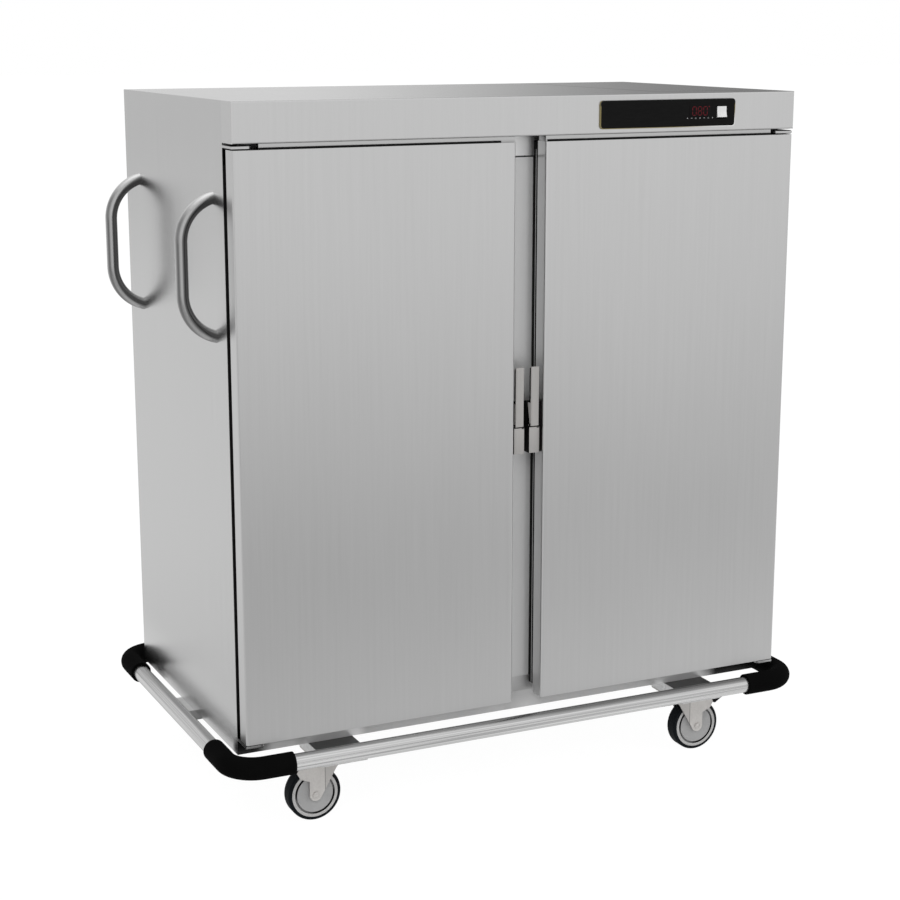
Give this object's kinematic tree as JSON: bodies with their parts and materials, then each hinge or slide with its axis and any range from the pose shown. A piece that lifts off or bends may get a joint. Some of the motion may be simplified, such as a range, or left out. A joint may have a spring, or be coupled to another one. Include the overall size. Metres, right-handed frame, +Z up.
{
  "type": "heated banquet cart",
  "caption": "Insulated heated banquet cart in stainless steel with hinged doors, edge latches, push handles, tray slides and swivel casters inside a bumper ring of tube.",
  "frame": {"origin": "on the floor, under the middle of the cabinet's width and halfway between the front and rear bumper tubes", "axes": "+X along the doors towards the control panel's end, +Y from the doors to the back, +Z up"},
  "size_m": [1.505, 0.905, 1.596],
  "materials": {
    "stainless": "satin",
    "stainless_inner": "satin",
    "foam": "matte",
    "motor_paint": "satin",
    "aluminium": "satin",
    "element_sheath": "satin",
    "panel_black": "gloss",
    "black_plastic": "matte",
    "white_plastic": "satin",
    "hinge_steel": "satin",
    "latch_metal": "satin",
    "handle_steel": "satin",
    "bumper_rubber": "matte",
    "chassis_steel": "satin",
    "zinc": "satin",
    "wheel_grey": "satin",
    "tyre_rubber": "matte",
    "gasket_rubber": "matte"
  },
  "bodies": {
    "cabinet": {"left_side_panel": "stainless", "right_side_panel": "stainless", "back_panel": "stainless", "top_cover": "stainless", "base_pan": "stainless", "front_frame": "stainless", "centre_mullion": "stainless", "chamber_liner": "stainless_inner", "insulation": "foam", "air_baffle": "stainless_inner", "fan_motor": "motor_paint", "heating_element": "element_sheath", "rack_posts": "stainless_inner", "tray_slides": "stainless_inner", "control_panel": "panel_black", "control_box": "black_plastic", "power_inlet": "black_plastic", "hinge_plates": "hinge_steel", "hinge_pins": "hinge_steel", "latch_strikes": "latch_metal", "push_handle_front": "handle_steel", "push_handle_rear": "handle_steel", "bumper_tubes_long": "aluminium", "bumper_tubes_side": "aluminium", "bumper_corners": "bumper_rubber", "chassis_members": "chassis_steel", "chassis_bolts": "zinc", "caster_plates": "zinc"},
    "fan": {"fan_impeller": "aluminium"},
    "switch": {"rocker_switch": "white_plastic"},
    "left_door": {"left_door_skin": "stainless", "left_door_liner": "stainless_inner", "left_door_core": "foam", "left_door_gasket": "gasket_rubber", "left_latch_housing": "black_plastic"},
    "left_lever": {"left_latch_lever": "latch_metal"},
    "right_door": {"right_door_skin": "stainless", "right_door_liner": "stainless_inner", "right_door_core": "foam", "right_door_gasket": "gasket_rubber", "right_latch_housing": "black_plastic"},
    "right_lever": {"right_latch_lever": "latch_metal"},
    "swivel_front_left": {"caster_fork_front_left": "zinc", "caster_axle_front_left": "zinc"},
    "wheel_front_left": {"caster_wheel_front_left": "wheel_grey", "caster_tyre_front_left": "tyre_rubber"},
    "swivel_front_right": {"caster_fork_front_right": "zinc", "caster_axle_front_right": "zinc"},
    "wheel_front_right": {"caster_wheel_front_right": "wheel_grey", "caster_tyre_front_right": "tyre_rubber"},
    "swivel_rear_left": {"caster_fork_rear_left": "zinc", "caster_axle_rear_left": "zinc"},
    "wheel_rear_left": {"caster_wheel_rear_left": "wheel_grey", "caster_tyre_rear_left": "tyre_rubber"},
    "swivel_rear_right": {"caster_fork_rear_right": "zinc", "caster_axle_rear_right": "zinc"},
    "wheel_rear_right": {"caster_wheel_rear_right": "wheel_grey", "caster_tyre_rear_right": "tyre_rubber"},
    "pedal_front_right": {"brake_pedal_front_right": "black_plastic"},
    "pedal_rear_right": {"brake_pedal_rear_right": "black_plastic"}
  },
  "joints": [
    {"name": "left_door_hinge", "type": "hinge", "parent": "cabinet", "child": "left_door", "pos_m": [-0.656, -0.3805, 0.862], "axis": [0, 0, -1], "range_deg": [0, 180]},
    {"name": "right_door_hinge", "type": "hinge", "parent": "cabinet", "child": "right_door", "pos_m": [0.656, -0.3805, 0.862], "axis": [0, 0, 1], "range_deg": [0, 180]},
    {"name": "left_lever_pull", "type": "hinge", "parent": "left_door", "child": "left_lever", "pos_m": [-0.019, -0.3855, 0.8698], "axis": [1, 0, 0], "range_deg": [0, 30], "stiffness_Nm_per_rad": 0.3},
    {"name": "right_lever_pull", "type": "hinge", "parent": "right_door", "child": "right_lever", "pos_m": [0.019, -0.3855, 0.8698], "axis": [1, 0, 0], "range_deg": [0, 30], "stiffness_Nm_per_rad": 0.3},
    {"name": "switch_rock", "type": "hinge", "parent": "cabinet", "child": "switch", "pos_m": [0.482, -0.3945, 1.552], "axis": [1, 0, 0], "range_deg": [0, 16]},
    {"name": "fan_spin", "type": "hinge", "parent": "cabinet", "child": "fan", "pos_m": [0, -0.0019, 1.435], "axis": [0, 0, 1], "continuous": true},
    {"name": "swivel_turn_front_left", "type": "hinge", "parent": "cabinet", "child": "swivel_front_left", "pos_m": [-0.462, -0.3255, 0.14], "axis": [0, 0, 1], "continuous": true},
    {"name": "wheel_roll_front_left", "type": "hinge", "parent": "swivel_front_left", "child": "wheel_front_left", "pos_m": [-0.502, -0.3255, 0.0625], "axis": [0, 1, 0], "continuous": true},
    {"name": "swivel_turn_front_right", "type": "hinge", "parent": "cabinet", "child": "swivel_front_right", "pos_m": [0.462, -0.3255, 0.14], "axis": [0, 0, 1], "continuous": true},
    {"name": "wheel_roll_front_right", "type": "hinge", "parent": "swivel_front_right", "child": "wheel_front_right", "pos_m": [0.502, -0.3255, 0.0625], "axis": [0, 1, 0], "continuous": true},
    {"name": "pedal_press_front_right", "type": "hinge", "parent": "swivel_front_right", "child": "pedal_front_right", "pos_m": [0.526, -0.3255, 0.13], "axis": [0, 1, 0], "range_deg": [0, 12]},
    {"name": "swivel_turn_rear_left", "type": "hinge", "parent": "cabinet", "child": "swivel_rear_left", "pos_m": [-0.462, 0.3605, 0.14], "axis": [0, 0, 1], "continuous": true},
    {"name": "wheel_roll_rear_left", "type": "hinge", "parent": "swivel_rear_left", "child": "wheel_rear_left", "pos_m": [-0.502, 0.3605, 0.0625], "axis": [0, 1, 0], "continuous": true},
    {"name": "swivel_turn_rear_right", "type": "hinge", "parent": "cabinet", "child": "swivel_rear_right", "pos_m": [0.462, 0.3605, 0.14], "axis": [0, 0, 1], "continuous": true},
    {"name": "wheel_roll_rear_right", "type": "hinge", "parent": "swivel_rear_right", "child": "wheel_rear_right", "pos_m": [0.502, 0.3605, 0.0625], "axis": [0, 1, 0], "continuous": true},
    {"name": "pedal_press_rear_right", "type": "hinge", "parent": "swivel_rear_right", "child": "pedal_rear_right", "pos_m": [0.526, 0.3605, 0.13], "axis": [0, 1, 0], "range_deg": [0, 12]}
  ]
}
